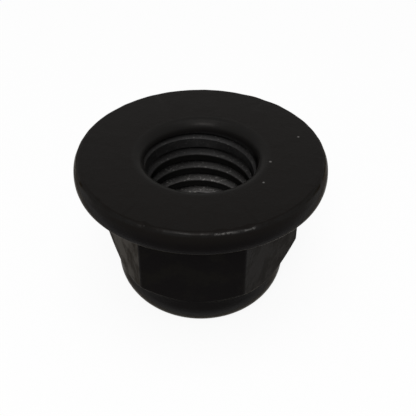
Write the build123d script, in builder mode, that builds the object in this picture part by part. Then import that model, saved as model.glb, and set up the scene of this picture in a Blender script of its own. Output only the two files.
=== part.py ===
from build123d import *
import os
from math import cos, radians, sqrt, tan

os.makedirs("parts", exist_ok=True)

# Hexagon flange nut for an M12 x 1.75 bolt, standing on the end of its round collar with
# the flange on top. Z is the thread's axis, the nut stands on Z = 0, and one pair of the
# hexagon's flats faces -Y and +Y. All sizes are in millimetres.

# whole nut
height = 16.6
across_flats = 18.0
corner_round = 0.3  # rounding along the hexagon's six corners
bore_dia = 10.5  # minor diameter of the thread, which is the wall that CAD shows

# flange
flange_dia = 25.6
rim_height = 2.45  # from the bearing face to the rim's lower edge
rim_bulge_radius = 3.5  # the rim's side is a shallow arc, as forging leaves it
rim_widest_drop = 1.55  # from the bearing face down to the widest point of that arc
bearing_edge_round = 0.45
under_edge_bevel = 0.35
under_slope = 20.0  # degrees from level
root_bevel = 0.5  # bevel in the corner where the flange meets the hexagon

# end of the hexagon
corner_drop = 10.7  # from the bearing face down to the start of the turned end
turned_slope = 49.0  # degrees from level

# collar
collar_dia = 17.94
dome_radius = 4.25
end_face_dia = 14.26  # outer edge of the flat ring that the nut stands on

# mouths of the bore; a slope is in degrees between the mouth's wall and the axis
bearing_mouth_dia = 12.3
bearing_mouth_slope = 30.0
bearing_mouth_round = 0.9  # rounding between the bearing face and its mouth
end_mouth_dia = 12.4
end_mouth_slope = 45.0

flange_r = flange_dia / 2
bore_r = bore_dia / 2
collar_r = collar_dia / 2
end_face_r = end_face_dia / 2
flat_r = across_flats / 2
corner_r = flat_r / cos(radians(30))
rim_low = height - rim_height

# The rim's arc meets the bearing face and the cone below a little inside its widest point.
rim_top_r = flange_r - rim_bulge_radius + sqrt(rim_bulge_radius**2 - rim_widest_drop**2)
rim_low_r = flange_r - rim_bulge_radius + sqrt(rim_bulge_radius**2 - (rim_height - rim_widest_drop) ** 2)

# The flange's underside is a cone that carries on into the hexagon, as far as the flats.
root_low = rim_low - (rim_low_r - flat_r) * tan(radians(under_slope))

# The hexagon's turned end is a cone from its sharp corners in to the collar.
corner_low = height - corner_drop
collar_top = corner_low - (corner_r - collar_r) * tan(radians(turned_slope))

# The dome is one arc, tangent to the collar's wall, that stops at the flat end face.
dome_top = sqrt(dome_radius**2 - (end_face_r - collar_r + dome_radius) ** 2)

with BuildPart() as flange_nut:
    # A hexagon blank from the end face up to the flange.
    with BuildSketch():
        RegularPolygon(flat_r, 6, major_radius=False)
    extrude(amount=rim_low)
    fillet(flange_nut.edges().filter_by(Axis.Z), corner_round)

    # The blank is turned down to the collar, which is just narrower than the flats.
    with BuildSketch(Plane.XZ):
        with BuildLine():
            side = Polyline(
                (0, rim_low),
                (corner_r, rim_low),
                (corner_r, corner_low),
                (collar_r, collar_top),
                (collar_r, dome_top),
            )
            dome = RadiusArc(side @ 1, (end_face_r, 0), dome_radius)
            Polyline(dome @ 1, (0, 0), side @ 0)
        make_face()
    revolve(axis=Axis.Z, mode=Mode.INTERSECT)

    # The flange: a flat bearing face, a rim with a bulging side and a shallow cone underneath.
    with BuildSketch(Plane.XZ) as flange_profile:
        with BuildLine():
            rim = ThreePointArc((rim_top_r, height), (flange_r, height - rim_widest_drop), (rim_low_r, rim_low))
            Polyline(rim @ 1, (flat_r, root_low), (0, root_low), (0, height), rim @ 0)
        make_face()
        fillet(flange_profile.vertices().group_by(Axis.Y)[-1].sort_by(Axis.X)[-1], bearing_edge_round)
        chamfer(flange_profile.vertices().group_by(Axis.X)[-1], under_edge_bevel)
    revolve(axis=Axis.Z)
    root = flange_nut.edges().filter_by(lambda edge: corner_low < edge.center().Z < rim_low - under_edge_bevel)
    chamfer(root.filter_by(GeomType.LINE, reverse=True), root_bevel)

    # The bore, with a tapered mouth at each end.
    Hole(bore_r)
    end_face = flange_nut.faces().sort_by(Axis.Z)[0]
    end_reach = end_mouth_dia / 2 - bore_r
    end_depth = end_reach / tan(radians(end_mouth_slope))
    chamfer(end_face.inner_wires().edges(), end_reach, end_depth, reference=end_face)
    bearing_face = flange_nut.faces().sort_by(Axis.Z)[-1]
    bearing_reach = bearing_mouth_dia / 2 - bore_r
    bearing_depth = bearing_reach / tan(radians(bearing_mouth_slope))
    chamfer(bearing_face.inner_wires().edges(), bearing_reach, bearing_depth, reference=bearing_face)
    bearing_face = flange_nut.faces().sort_by(Axis.Z)[-1]
    fillet(bearing_face.inner_wires().edges(), bearing_mouth_round)

flange_nut.part.label = "flange_nut"
export_step(flange_nut.part, "parts/flange_nut.step")
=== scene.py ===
from math import asin, atan, atan2, cos, exp, pi, radians, sin, sqrt, tan

import bmesh
import bpy
from mathutils import Matrix, Vector, noise


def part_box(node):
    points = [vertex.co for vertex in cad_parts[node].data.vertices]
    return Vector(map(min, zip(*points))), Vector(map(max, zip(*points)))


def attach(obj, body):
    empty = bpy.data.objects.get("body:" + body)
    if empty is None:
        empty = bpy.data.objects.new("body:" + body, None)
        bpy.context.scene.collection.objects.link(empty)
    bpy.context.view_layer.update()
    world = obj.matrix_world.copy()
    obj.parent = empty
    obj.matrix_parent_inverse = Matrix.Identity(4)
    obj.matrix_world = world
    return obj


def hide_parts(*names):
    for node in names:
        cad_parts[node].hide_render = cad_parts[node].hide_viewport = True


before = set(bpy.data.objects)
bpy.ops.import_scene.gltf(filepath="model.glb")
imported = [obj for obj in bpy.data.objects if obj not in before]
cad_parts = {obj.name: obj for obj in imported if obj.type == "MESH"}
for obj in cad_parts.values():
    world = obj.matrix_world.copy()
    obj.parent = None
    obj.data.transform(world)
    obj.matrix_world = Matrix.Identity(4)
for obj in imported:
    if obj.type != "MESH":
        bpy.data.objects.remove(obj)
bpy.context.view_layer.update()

# ----------------------------------------------------------------------------
# Camera: a 64 mm lens that looks down on the flange, from a little to the +X side
# of the flat that faces -Y. It is turned, not shifted, so that the middle of the
# bearing face comes at centre_pixel in a picture of 416 by 416.
# ----------------------------------------------------------------------------
mm = 0.001
nut_low, nut_high = (Vector(corner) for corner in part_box("flange_nut"))
flange_radius = (nut_high.x - nut_low.x) / 2

frame_pixels = 416
focal_pixels = 738.6
centre_pixel = (200.94, 151.62)
camera_distance = 5.8 * flange_radius
camera_elevation = radians(34.86)
camera_azimuth = radians(5.51)

lens = bpy.data.cameras.new("camera")
lens.sensor_width = 36.0
lens.lens = focal_pixels * lens.sensor_width / frame_pixels
lens.clip_start = 1 * mm
camera = bpy.data.objects.new("camera", lens)
bpy.context.collection.objects.link(camera)
bpy.context.scene.camera = camera

towards_camera = Vector(
    (
        sin(camera_azimuth) * cos(camera_elevation),
        -cos(camera_azimuth) * cos(camera_elevation),
        sin(camera_elevation),
    )
)
turn_across, turn_down = (atan((pixel - frame_pixels / 2) / focal_pixels) for pixel in centre_pixel)
camera.matrix_world = (
    Matrix.Translation(Vector((0, 0, nut_high.z)) + camera_distance * towards_camera)
    @ towards_camera.to_track_quat("Z", "Y").to_matrix().to_4x4()
    @ Matrix.Rotation(turn_across, 4, "Y")
    @ Matrix.Rotation(turn_down, 4, "X")
)

# ----------------------------------------------------------------------------
# Nut. One cold-forged piece of steel: a hexagon with a wide round flange on top,
# its other end turned to a domed collar, tapped right through and then coated
# with dark phosphate and oil. It is fixed to nothing and stands on its end face.
# ----------------------------------------------------------------------------
height = nut_high.z - nut_low.z
flat_distance = 9.0 * mm
corner_distance = flat_distance / cos(radians(30))
corner_round = 0.3 * mm

rim_height = 2.45 * mm
rim_bulge_radius = 3.5 * mm
rim_widest_drop = 1.55 * mm
bearing_edge_round = 0.42 * mm
under_edge_round = 0.5 * mm
under_slope = radians(20)
root_round = 0.8 * mm

corner_drop = 10.7 * mm
turned_slope = radians(49)
turned_edge_round = 0.4 * mm
shoulder_round = 0.3 * mm
collar_radius = 8.97 * mm
dome_radius = 4.25 * mm
end_face_radius = 7.13 * mm
end_face_round = 0.3 * mm

bore_radius = 5.25 * mm
end_mouth_radius = 6.2 * mm
end_mouth_slope = radians(45)
end_mouth_round = 0.15 * mm
bearing_dish = 0.2 * mm
bearing_mouth_radius = 5.98 * mm
bearing_mouth_slope = radians(12)
bearing_mouth_round = 1.1 * mm

# The rim's upper edge was never machined: it is uneven, and knocks have rounded it
# further at a few places. Each knock is an angle and a width in degrees, and the share
# of the edge's usual rounding that it adds.
edge_unevenness = 0.3
lumps_round_edge = 9
edge_knocks = (
    (-76.5, 3.0, 0.7),
    (-69.5, 1.6, 0.4),
    (-64.0, 2.6, 0.8),
    (-108.8, 1.6, 0.9),
    (-134.6, 1.5, 0.5),
)

# Each sixth of a ring has its points close together round a corner of the hexagon.
corner_zone = radians(2)
steps_at_corner = 8
steps_on_flat = 52
ring_angles = []
for corner in range(6):
    zone_start = radians(60 * corner) - corner_zone / 2
    ring_angles += [zone_start + corner_zone * step / steps_at_corner for step in range(steps_at_corner)]
    flat_start = zone_start + corner_zone
    flat_zone = radians(60) - corner_zone
    ring_angles += [flat_start + flat_zone * step / steps_on_flat for step in range(steps_on_flat)]


def hexagon_distance(angle):
    """Distance from the axis to the hexagon's side, with its corners rounded."""
    off_corner = abs((angle + radians(30)) % radians(60) - radians(30))
    round_centre = corner_distance - corner_round / cos(radians(30))
    round_end = atan2(corner_round * sin(radians(30)), round_centre + corner_round * cos(radians(30)))
    if off_corner > round_end:
        return flat_distance / cos(radians(30) - off_corner)
    across = round_centre * sin(off_corner)
    return round_centre * cos(off_corner) + sqrt(corner_round**2 - across**2)


def edge_rounding(angle):
    """Rounding of the rim's upper edge, which varies round the flange."""
    around = lumps_round_edge * Vector((cos(angle), sin(angle), 0))
    rounding = 1 + edge_unevenness * noise.noise(around)
    for degrees, width, depth in edge_knocks:
        off_knock = (angle - radians(degrees) + pi) % (2 * pi) - pi
        rounding += depth * exp(-((off_knock / radians(width)) ** 2))
    return bearing_edge_round * rounding


def arc(centre, radius, start, stop, steps):
    """Points of the section along an arc, between two directions measured up from level."""
    turns = [start + (stop - start) * step / steps for step in range(steps + 1)]
    return [centre + radius * Vector((cos(turn), sin(turn))) for turn in turns]


# A rounding takes less than half of its shorter side, so that two never meet.
most_of_side = 0.48


def rounded(before, corner, after, radius, steps):
    """Points of the section round a corner, on a smaller arc where its sides are short."""
    towards_before = (before - corner).normalized()
    towards_after = (after - corner).normalized()
    half_angle = towards_before.angle(towards_after) / 2
    room = most_of_side * min((before - corner).length, (after - corner).length)
    reach = min(radius / tan(half_angle), room)
    centre = corner + (towards_before + towards_after).normalized() * reach / cos(half_angle)
    start = corner + towards_before * reach - centre
    turn = start.angle_signed(corner + towards_after * reach - centre)
    return [centre + Matrix.Rotation(-turn * step / steps, 2) @ start for step in range(steps + 1)]


# The part of the rim's bulge, below and above its widest point, that keeps its plain arc.
plain_below = 0.4
plain_above = 0.5


def nut_section(angle):
    """The nut's outside at an angle, from its end's mouth up and over to its bearing mouth."""
    hexagon = hexagon_distance(angle)
    bulge_centre = Vector((flange_radius - rim_bulge_radius, height - rim_widest_drop))
    bulge_top = asin(rim_widest_drop / rim_bulge_radius)
    bulge_low = asin((rim_height - rim_widest_drop) / rim_bulge_radius)
    widest = bulge_centre + Vector((rim_bulge_radius, 0))
    rim_top = bulge_centre + rim_bulge_radius * Vector((cos(bulge_top), sin(bulge_top)))
    rim_foot = bulge_centre + rim_bulge_radius * Vector((cos(bulge_low), -sin(bulge_low)))
    root = Vector((hexagon, rim_foot.y - (rim_foot.x - hexagon) * tan(under_slope)))

    shoulder_height = height - corner_drop - (corner_distance - collar_radius) * tan(turned_slope)
    shoulder = Vector((collar_radius, shoulder_height))
    turned_edge = Vector((hexagon, shoulder_height + (hexagon - collar_radius) * tan(turned_slope)))
    dome_centre = Vector((collar_radius - dome_radius, 0))
    dome_centre.y = sqrt(dome_radius**2 - (end_face_radius - dome_centre.x) ** 2)
    dome = arc(dome_centre, dome_radius, -asin(dome_centre.y / dome_radius), 0, steps=12)

    end_mouth = Vector((end_mouth_radius, 0))
    bore_low = Vector((bore_radius, (end_mouth_radius - bore_radius) / tan(end_mouth_slope)))
    bearing_mouth = Vector((bearing_mouth_radius, height - bearing_dish))
    mouth_depth = (bearing_mouth_radius - bore_radius) / tan(bearing_mouth_slope)
    bore_top = Vector((bore_radius, bearing_mouth.y - mouth_depth))
    return [
        bore_low,
        *rounded(bore_low, end_mouth, dome[0], end_mouth_round, steps=3),
        *rounded(end_mouth, dome[0], dome[1], end_face_round, steps=3),
        *dome[1:],
        *rounded(dome[-1], shoulder, turned_edge, shoulder_round, steps=4),
        *rounded(shoulder, turned_edge, root, turned_edge_round, steps=4),
        *rounded(turned_edge, root, rim_foot, root_round, steps=6),
        *rounded(root, rim_foot, widest, under_edge_round, steps=6),
        *arc(bulge_centre, rim_bulge_radius, -plain_below * bulge_low, plain_above * bulge_top, steps=8),
        *rounded(widest, rim_top, bearing_mouth, edge_rounding(angle), steps=8),
        *rounded(rim_top, bearing_mouth, bore_top, bearing_mouth_round, steps=14),
        bore_top,
    ]


# The skin is drawn out ring by ring, each ring one point of the section all the way round,
# and the last ring is joined to the first by the wall of the bore.
angle_slack = radians(0.01)  # keeps a ring's first point from being sorted last
sections = [nut_section(angle) for angle in ring_angles]
bpy.ops.object.select_all(action="DESELECT")
bpy.ops.mesh.primitive_circle_add(vertices=len(ring_angles), radius=bore_radius)
nut = bpy.context.active_object
nut.name = "nut"
bpy.ops.object.mode_set(mode="EDIT")
for ring in range(len(sections[0])):
    if ring > 0:
        bpy.ops.mesh.extrude_region_move()
    skin = bmesh.from_edit_mesh(nut.data)
    open_ring = sorted(
        (vertex for vertex in skin.verts if vertex.select),
        key=lambda vertex: (atan2(vertex.co.y, vertex.co.x) - ring_angles[0] + angle_slack) % (2 * pi),
    )
    for vertex, angle, section in zip(open_ring, ring_angles, sections):
        radius, z = section[ring]
        vertex.co = (radius * cos(angle), radius * sin(angle), z)
    bmesh.update_edit_mesh(nut.data)
bpy.ops.mesh.select_mode(type="EDGE")
bpy.ops.mesh.select_all(action="DESELECT")
bpy.ops.mesh.select_non_manifold()
bpy.ops.mesh.bridge_edge_loops()
bpy.ops.mesh.select_all(action="SELECT")
bpy.ops.mesh.normals_make_consistent(inside=False)
bpy.ops.object.mode_set(mode="OBJECT")

# The tap for the M12 x 1.75 right-hand thread is one tooth's outline wound up the axis. It
# runs out past both ends of the nut. The tooth's height is set where the crest between two
# grooves passes thread_direction.
pitch = 1.75 * mm
thread_depth = 0.75 * mm
root_flat = 0.22 * mm
groove_width = 1.085 * mm
crest_width = pitch - groove_width
tap_turns = 12
tap_steps = 144
thread_direction = radians(95.5)
crest_below_bearing = 4.12 * mm
tap_clearance = 0.03 * mm  # keeps the tap's core off the wall of the bore
join_distance = 0.002 * mm

bpy.ops.object.select_all(action="DESELECT")
bpy.ops.mesh.primitive_plane_add(size=pitch)
tap = bpy.context.active_object
tap.name = "tap"
bpy.ops.object.mode_set(mode="EDIT")
bpy.ops.mesh.select_mode(type="VERT")
bpy.ops.mesh.merge(type="CENTER")
crest_low = height - crest_below_bearing - crest_width
lift = (crest_low - pitch * thread_direction / (2 * pi)) % pitch - 2 * pitch
flank_rise = (groove_width - root_flat) / 2
core_rise = tap_clearance * flank_rise / thread_depth
bpy.ops.transform.translate(value=(bore_radius - tap_clearance, 0, lift + core_rise))
tooth_depth = thread_depth + tap_clearance
tooth = (
    (0, crest_width - 2 * core_rise),
    (tooth_depth, flank_rise + core_rise),
    (0, root_flat),
    (-tooth_depth, flank_rise + core_rise),
)
for outwards, up in tooth:
    bpy.ops.mesh.extrude_vertices_move(TRANSFORM_OT_translate={"value": (outwards, 0, up)})
bpy.ops.object.mode_set(mode="OBJECT")
winding = tap.modifiers.new("winding", "SCREW")
winding.angle = 2 * pi
winding.screw_offset = pitch
winding.iterations = tap_turns
winding.steps = tap_steps
winding.render_steps = tap_steps
winding.use_merge_vertices = True
winding.merge_threshold = join_distance
bpy.ops.object.modifier_apply(modifier=winding.name)
bpy.ops.object.mode_set(mode="EDIT")
bpy.ops.mesh.select_all(action="SELECT")
bpy.ops.mesh.remove_doubles(threshold=join_distance)
bpy.ops.mesh.select_all(action="DESELECT")
bpy.ops.mesh.select_non_manifold()
bpy.ops.mesh.edge_face_add()
bpy.ops.mesh.select_all(action="SELECT")
bpy.ops.mesh.normals_make_consistent(inside=False)
bpy.ops.object.mode_set(mode="OBJECT")

tapping = nut.modifiers.new("tapping", "BOOLEAN")
tapping.operation = "DIFFERENCE"
tapping.solver = "EXACT"
tapping.object = tap
bpy.context.view_layer.objects.active = nut
bpy.ops.object.modifier_apply(modifier=tapping.name)
bpy.data.objects.remove(tap)

# Points that the cut left almost on top of each other become one.
sliver_length = 0.0003 * mm
bpy.ops.object.select_all(action="DESELECT")
nut.select_set(True)
bpy.ops.object.mode_set(mode="EDIT")
bpy.ops.mesh.select_all(action="SELECT")
bpy.ops.mesh.remove_doubles(threshold=sliver_length)
bpy.ops.object.mode_set(mode="OBJECT")

# Edges sharper than sharp_angle stay sharp, and the wide flat faces keep their own direction.
sharp_angle = radians(25)
bpy.ops.object.shade_smooth_by_angle(angle=sharp_angle)
flat_faces = nut.modifiers.new("flat_faces", "WEIGHTED_NORMAL")
flat_faces.keep_sharp = True
bpy.ops.object.modifier_apply(modifier=flat_faces.name)


class Layer:
    """A number or a pattern of the coating. Arithmetic on layers adds Math nodes."""

    def __init__(self, tree, socket=None):
        self.tree = tree
        self.socket = socket

    def node(self, kind, settings, inputs, output=0):
        """A node of any kind, with its settings set before the values or links of its inputs."""
        made = self.tree.nodes.new(kind)
        for name, setting in settings.items():
            setattr(made, name, setting)
        for name, value in inputs.items():
            if isinstance(value, Layer):
                self.tree.links.new(value.socket, made.inputs[name])
            else:
                made.inputs[name].default_value = value
        return Layer(self.tree, made.outputs[output])

    def math(self, operation, *others):
        return self.node("ShaderNodeMath", {"operation": operation}, dict(enumerate((self, *others))))

    def __add__(self, other):
        return self.math("ADD", other)

    def __sub__(self, other):
        return self.math("SUBTRACT", other)

    def __rsub__(self, other):
        return self.node("ShaderNodeMath", {"operation": "SUBTRACT"}, {0: other, 1: self})

    def __mul__(self, other):
        return self.math("MULTIPLY", other)

    def __truediv__(self, other):
        return self.math("DIVIDE", other)

    def __pow__(self, other):
        return self.math("POWER", other)

    __radd__ = __add__
    __rmul__ = __mul__

    def step(self, start, full):
        """0 at start, 1 at full and smooth between them."""
        ends = {"Value": self, "From Min": start, "From Max": full}
        return self.node("ShaderNodeMapRange", {"interpolation_type": "SMOOTHSTEP"}, ends)

    def grain(self, size, detail, roughness):
        """Noise whose lumps are about as wide as size."""
        texture = {"Vector": self, "Scale": 1 / size, "Detail": detail, "Roughness": roughness}
        return self.node("ShaderNodeTexNoise", {}, texture)

    def colour(self, first, second):
        """Goes from the first colour to the second as this mask goes from 0 to 1."""
        return self.node("ShaderNodeMix", {"data_type": "RGBA"}, {0: self, 6: first, 7: second}, 2)


coating_colour = (0.0060, 0.0052, 0.0047, 1)
# painted shade: below the bearing face the sides are painted darker than the face
shaded_side_colour = (0.0031, 0.0026, 0.0027, 1)
mottle_colour = (0.0045, 0.0040, 0.0034, 1)
# painted highlight on the rim's upper edge and the rounding into the bore
painted_highlight_colour = (0.0105, 0.0100, 0.0096, 1)
# painted shade on the thread's crests
shaded_crest_colour = (0.0050, 0.0048, 0.0046, 1)
# painted highlight on the thread's flanks, brighter deep in the bore, and pale painted glints
lit_flank_colour = (0.022, 0.0215, 0.0215, 1)
deep_lit_flank_colour = (0.078, 0.075, 0.073, 1)
glint_colour = (0.26, 0.25, 0.24, 1)
bare_colour = (0.15, 0.145, 0.14, 1)

black_steel = bpy.data.materials.new("black_steel")
black_steel.use_nodes = True
finish = black_steel.node_tree.nodes["Principled BSDF"]
start = Layer(black_steel.node_tree)
place = start.node("ShaderNodeTexCoord", {}, {}, "Object")
x, y, z = (start.node("ShaderNodeSeparateXYZ", {}, {0: place}, axis) for axis in "XYZ")
from_axis = (x * x + y * y) ** 0.5
drop = height - z  # depth below the bearing face

# the coating is blotched, most on the hexagon, over a fine grain
hexagon_reach = (10.6 * mm, 10.4 * mm)
hexagon_top = (2.2 * mm, 2.6 * mm)
hexagon_foot = (12.6 * mm, 11.6 * mm)
below_face_drop = (0.4 * mm, 1.6 * mm)
blotches_elsewhere = 0.25
blotches = place.grain(size=2.4 * mm, detail=4, roughness=0.6).step(start=0.42, full=0.68)
grain = place.grain(size=0.22 * mm, detail=3, roughness=0.6)
pores = place.grain(size=0.5 * mm, detail=2, roughness=0.5)
# below the bearing face the coat is painted darker, a painted shade on the sides, which take less light
# than the face
below = drop.step(*below_face_drop)
on_hexagon = from_axis.step(*hexagon_reach) * drop.step(*hexagon_foot) * drop.step(*hexagon_top)
mottle = blotches * (blotches_elsewhere + (1 - blotches_elsewhere) * on_hexagon)

# the tapped flanks are painted lighter, most deep in the bore, with fine pale painted glints, a painted
# highlight, and the crests take a dark colour as painted shade
thread_reach = (6.15 * mm, 5.95 * mm)
thread_drop = (1.2 * mm, 2.0 * mm)
flank_reach = (5.28 * mm, 5.38 * mm)
deep_drop = (3.0 * mm, 11.0 * mm)
glints_at_mouth = 0.1
in_thread = from_axis.step(*thread_reach) * drop.step(*thread_drop)
flanks = in_thread * from_axis.step(*flank_reach)
deep = drop.step(*deep_drop)
glints = place.grain(size=0.24 * mm, detail=2, roughness=0.6).step(start=0.54, full=0.74)
glints = glints * (glints_at_mouth + (1 - glints_at_mouth) * deep)

# the rim's upper edge, patchy along its length, and the rounding into the bore are painted lighter, a
# painted highlight
mouth_reach = (7.2 * mm, 6.6 * mm)
mouth_drop = (1.5 * mm, 0.8 * mm)
edge_reach = (12.2 * mm, 12.4 * mm)
edge_depth = (0.5 * mm, 0.25 * mm)
least_highlight = 0.35
added_highlight = 0.9
mouth = from_axis.step(*mouth_reach) * drop.step(*mouth_drop)
edge = from_axis.step(*edge_reach) * drop.step(*edge_depth)
patchy_highlight = place.grain(size=1.8 * mm, detail=3, roughness=0.6).step(start=0.38, full=0.58)
edge = edge * (least_highlight + added_highlight * patchy_highlight)

# the rim's upper edge is rubbed through in places, each an angle, a half width in degrees and
# a strength
edge_radius = 12.5 * mm
edge_drop = 0.15 * mm
rubbed_reach = (0.2 * mm, 0.05 * mm)
rubbed_places = ((-76.8, 2.6, 0.7), (-64.0, 2.8, 1.6), (-70.4, 6.0, 0.3))
off_edge = ((from_axis - edge_radius) ** 2 + (drop - edge_drop) ** 2) ** 0.5
along_edge = y.math("ARCTAN2", x) / radians(1)
rubbed = 0
for degrees, half_width, strength in rubbed_places:
    off_middle = (along_edge - degrees).math("ABSOLUTE")
    rubbed = rubbed + strength * off_middle.step(half_width, 0.5 * half_width)
rubbed = rubbed * off_edge.step(*rubbed_reach)
bare = rubbed * place.grain(size=0.5 * mm, detail=3, roughness=0.7).step(start=0.36, full=0.6)

# a few pale specks, each a distance from the axis, an angle in degrees, a depth below the
# bearing face and a size
speck_strength = 0.8
speck_core = 0.3  # the share of its size over which a speck is at full strength
specks = (
    (10.43 * mm, 20.8, 0.06 * mm, 0.16 * mm),
    (7.03 * mm, -6.8, 0.17 * mm, 0.17 * mm),
    (7.73 * mm, -34.0, 0.14 * mm, 0.15 * mm),
    (12.38 * mm, -108.8, 0.05 * mm, 0.2 * mm),
    (5.65 * mm, 103.2, 2.0 * mm, 0.14 * mm),
)
for radius, degrees, depth, size in specks:
    centre = (radius * cos(radians(degrees)), radius * sin(radians(degrees)), height - depth)
    away = start.node("ShaderNodeVectorMath", {"operation": "DISTANCE"}, {0: place, 1: centre}, "Value")
    bare = bare + away.step(size, speck_core * size) * speck_strength

# painted shade below the bearing face
colour = below.colour(coating_colour, shaded_side_colour)
colour = mottle.colour(colour, mottle_colour)
# painted highlight on the rim's edge and the mouth
colour = (edge + mouth).colour(colour, painted_highlight_colour)
# painted shade on the crests, then painted highlight and glints on the flanks
colour = in_thread.colour(colour, shaded_crest_colour)
painted_flank = glints.colour(deep.colour(lit_flank_colour, deep_lit_flank_colour), glint_colour)
colour = flanks.colour(colour, painted_flank)
colour = bare.colour(colour, bare_colour)

coat_roughness = 0.33
mottle_roughness = 0.15
grain_roughness = 0.08
flank_roughness = 0.2
roughness = coat_roughness + mottle_roughness * mottle
roughness = roughness + grain_roughness * (grain - 0.5) + flank_roughness * flanks

# the coat's fine crystals keep it from going bright at a glancing angle
glancing = (0.50, 0.80)
oil_sheen = 0.2
edge_shine = 0.7
mouth_shine = 0.3
facing = start.node("ShaderNodeLayerWeight", {}, {"Blend": 0.5}, "Facing")
matt = 1 - (1 - facing.step(*glancing)) * (1 - oil_sheen * below)
metallic = matt * (1 - mouth) + flanks + edge_shine * edge + mouth_shine * mouth + bare

pore_height = 0.6
blotch_height = 1.5
relief_height = grain + pore_height * pores + blotch_height * blotches
relief = start.node(
    "ShaderNodeBump",
    {},
    {"Strength": 0.35, "Distance": 0.02 * mm, "Height": relief_height},
)
varying = {"Base Color": colour, "Roughness": roughness, "Metallic": metallic, "Normal": relief}
for socket, layer in varying.items():
    black_steel.node_tree.links.new(layer.socket, finish.inputs[socket])
finish.inputs["Specular IOR Level"].default_value = 0.035
finish.inputs["Specular Tint"].default_value = (0.47, 0.455, 0.435, 1)
nut.data.materials.clear()
nut.data.materials.append(black_steel)

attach(nut, "root")
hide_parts("flange_nut")

# ----------------------------------------------------------------------------
# Floor and lights. The nut stands on a sheet of white paper under a white surround,
# with a large softbox overhead and a smaller one high in front.
# ----------------------------------------------------------------------------
bpy.ops.object.select_all(action="DESELECT")
bpy.ops.mesh.primitive_plane_add(size=2.0)
floor = bpy.context.active_object
floor.name = "floor"
paper = bpy.data.materials.new("paper")
paper.use_nodes = True
sheet = paper.node_tree.nodes["Principled BSDF"]
sheet.inputs["Base Color"].default_value = (0.9, 0.9, 0.9, 1)
sheet.inputs["Roughness"].default_value = 0.9
sheet.inputs["Specular IOR Level"].default_value = 0.1
floor.data.materials.append(paper)


def seen_directly(start):
    """1 where the camera sees a surface, straight or in a reflection, and 0 where it lights others."""
    camera_ray, glossy_ray, transmission_ray = (
        start.node("ShaderNodeLightPath", {}, {}, ray)
        for ray in ("Is Camera Ray", "Is Glossy Ray", "Is Transmission Ray")
    )
    return camera_ray + glossy_ray + transmission_ray


# The paper shows mostly as plain white, and the rest of it takes the nut's shadow.
backdrop_share = 0.9
paper_start = Layer(paper.node_tree)
seen = backdrop_share * seen_directly(paper_start)
white = paper_start.node("ShaderNodeEmission", {}, {"Color": (1, 1, 1, 1), "Strength": 1.0})
lit = Layer(paper.node_tree, sheet.outputs[0])
surface = paper_start.node("ShaderNodeMixShader", {}, {0: seen, 1: lit, 2: white})
paper.node_tree.links.new(surface.socket, paper.node_tree.nodes["Material Output"].inputs["Surface"])

# The surround shows white and lights the nut less than that.
surround_light = 0.35
surround = bpy.data.worlds.new("surround")
surround.use_nodes = True
surround_start = Layer(surround.node_tree)
strength = surround_light + (1 - surround_light) * seen_directly(surround_start)
surround.node_tree.links.new(strength.socket, surround.node_tree.nodes["Background"].inputs["Strength"])
surround.node_tree.nodes["Background"].inputs["Color"].default_value = (1, 1, 1, 1)
bpy.context.scene.world = surround


def softbox(name, place, size, power):
    """A square soft light that faces the nut."""
    light = bpy.data.lights.new(name, "AREA")
    light.size = size
    light.energy = power
    lamp = bpy.data.objects.new(name, light)
    lamp.location = place
    lamp.rotation_euler = Vector(place).to_track_quat("Z", "Y").to_euler()
    bpy.context.collection.objects.link(lamp)


softbox("overhead_softbox", place=(0, -0.06, 0.5), size=0.3, power=0.7)
softbox("front_softbox", place=(0, -0.34, 0.36), size=0.2, power=1.5)
bpy.context.scene.view_settings.view_transform = "Standard"
